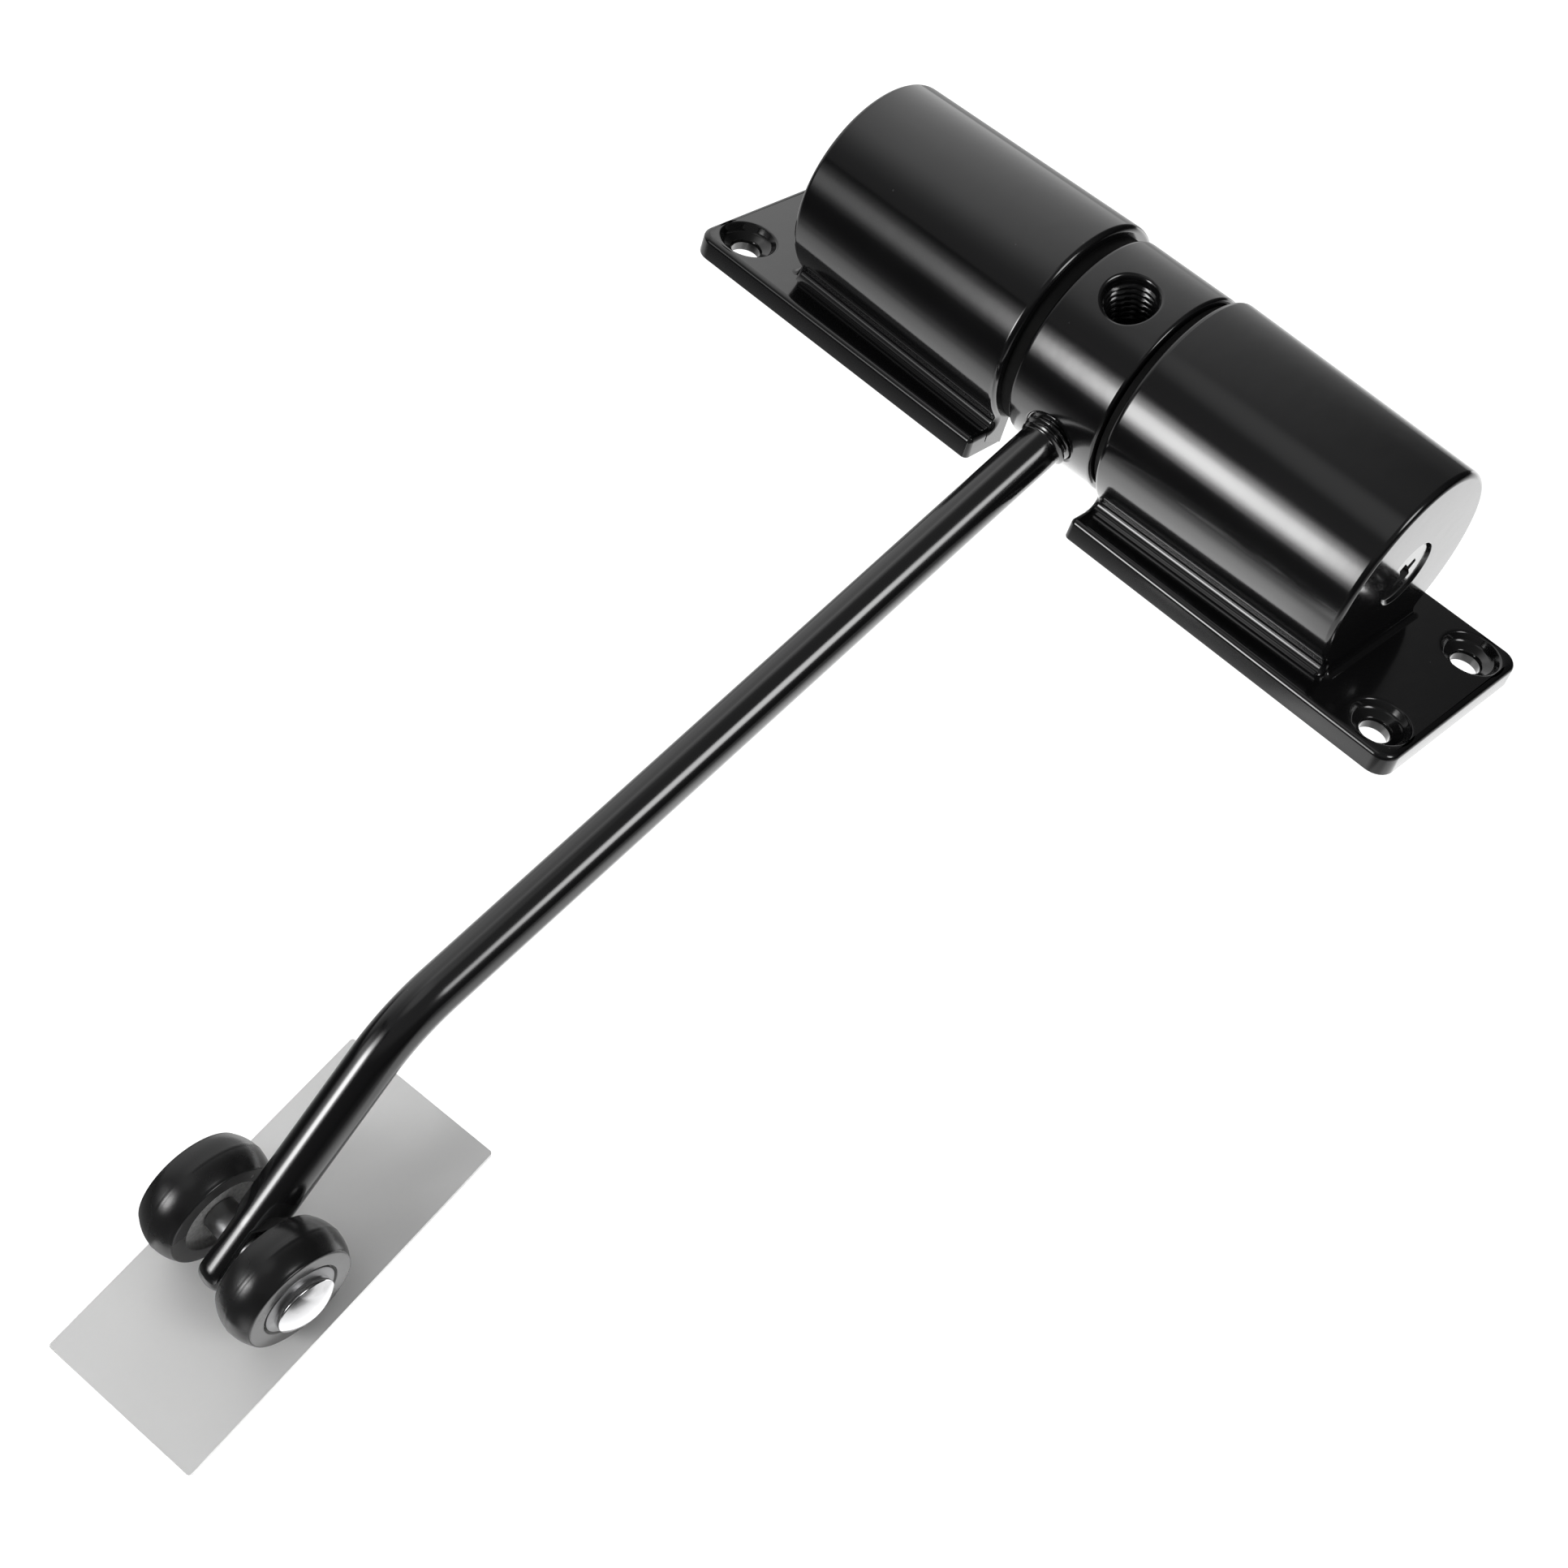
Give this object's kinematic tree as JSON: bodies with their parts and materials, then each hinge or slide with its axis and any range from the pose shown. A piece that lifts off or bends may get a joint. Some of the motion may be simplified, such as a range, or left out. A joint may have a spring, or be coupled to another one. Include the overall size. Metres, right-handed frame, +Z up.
{
  "type": "door closing buffer",
  "caption": "Surface-mounted spring door closer: black casting with twin spring barrels, a rotating centre hub, a bent arm ending in paired rollers, and a loose wear plate",
  "frame": {"origin": "centre of the four-screw pattern, on the mounting face under the base plate", "axes": "+X along the barrel axis, -Y towards the roller end of the arm, +Z up from the mounting face"},
  "size_m": [0.168, 0.2372, 0.1529],
  "materials": {
    "casting_black": "gloss black paint on a zinc casting",
    "hub_black": "gloss black paint on a turned steel hub",
    "arm_black": "gloss black paint on a steel rod",
    "machined_steel": "machined steel, lightly oiled",
    "spring_steel": "oil-tempered spring wire",
    "bright_screw": "bright plated screw",
    "rivet_chrome": "bright plated rivet",
    "washer_steel": "zinc plated steel",
    "bush_nylon": "natural nylon",
    "ring_nylon": "black nylon",
    "roller_nylon": "moulded black nylon, slightly worn gloss",
    "plate_satin": "thin satin metal sheet"
  },
  "bodies": {
    "closer_body": {"base_casting": "casting_black", "spindle": "machined_steel", "end_screws": "bright_screw", "anchor_left": "machined_steel", "anchor_right": "machined_steel", "spring_left": "spring_steel", "spring_right": "spring_steel", "spacer_ring_left": "ring_nylon", "spacer_ring_right": "ring_nylon", "wear_plate": "plate_satin"},
    "arm_body": {"hub": "hub_black", "bush_left": "bush_nylon", "bush_right": "bush_nylon", "arm": "arm_black", "roller_axle": "rivet_chrome", "axle_washers": "washer_steel", "roller_spacer_near": "washer_steel", "roller_spacer_far": "washer_steel"},
    "roller_near_body": {"roller_near": "roller_nylon"},
    "roller_far_body": {"roller_far": "roller_nylon"}
  },
  "joints": [
    {"name": "hub_turn", "type": "hinge", "parent": "closer_body", "child": "arm_body", "pos_m": [0.0003, 0, 0.021], "axis": [-1, 0, 0], "range_deg": [0, 120], "stiffness_Nm_per_rad": 1.5, "springref_deg": -17.19, "deforming": ["spring_left", "spring_right"]},
    {"name": "roller_near_spin", "type": "hinge", "parent": "arm_body", "child": "roller_near_body", "pos_m": [0.0003, -0.18699, -0.08664], "axis": [1, 0, 0], "continuous": true},
    {"name": "roller_far_spin", "type": "hinge", "parent": "arm_body", "child": "roller_far_body", "pos_m": [0.0003, -0.18699, -0.08664], "axis": [1, 0, 0], "continuous": true}
  ]
}
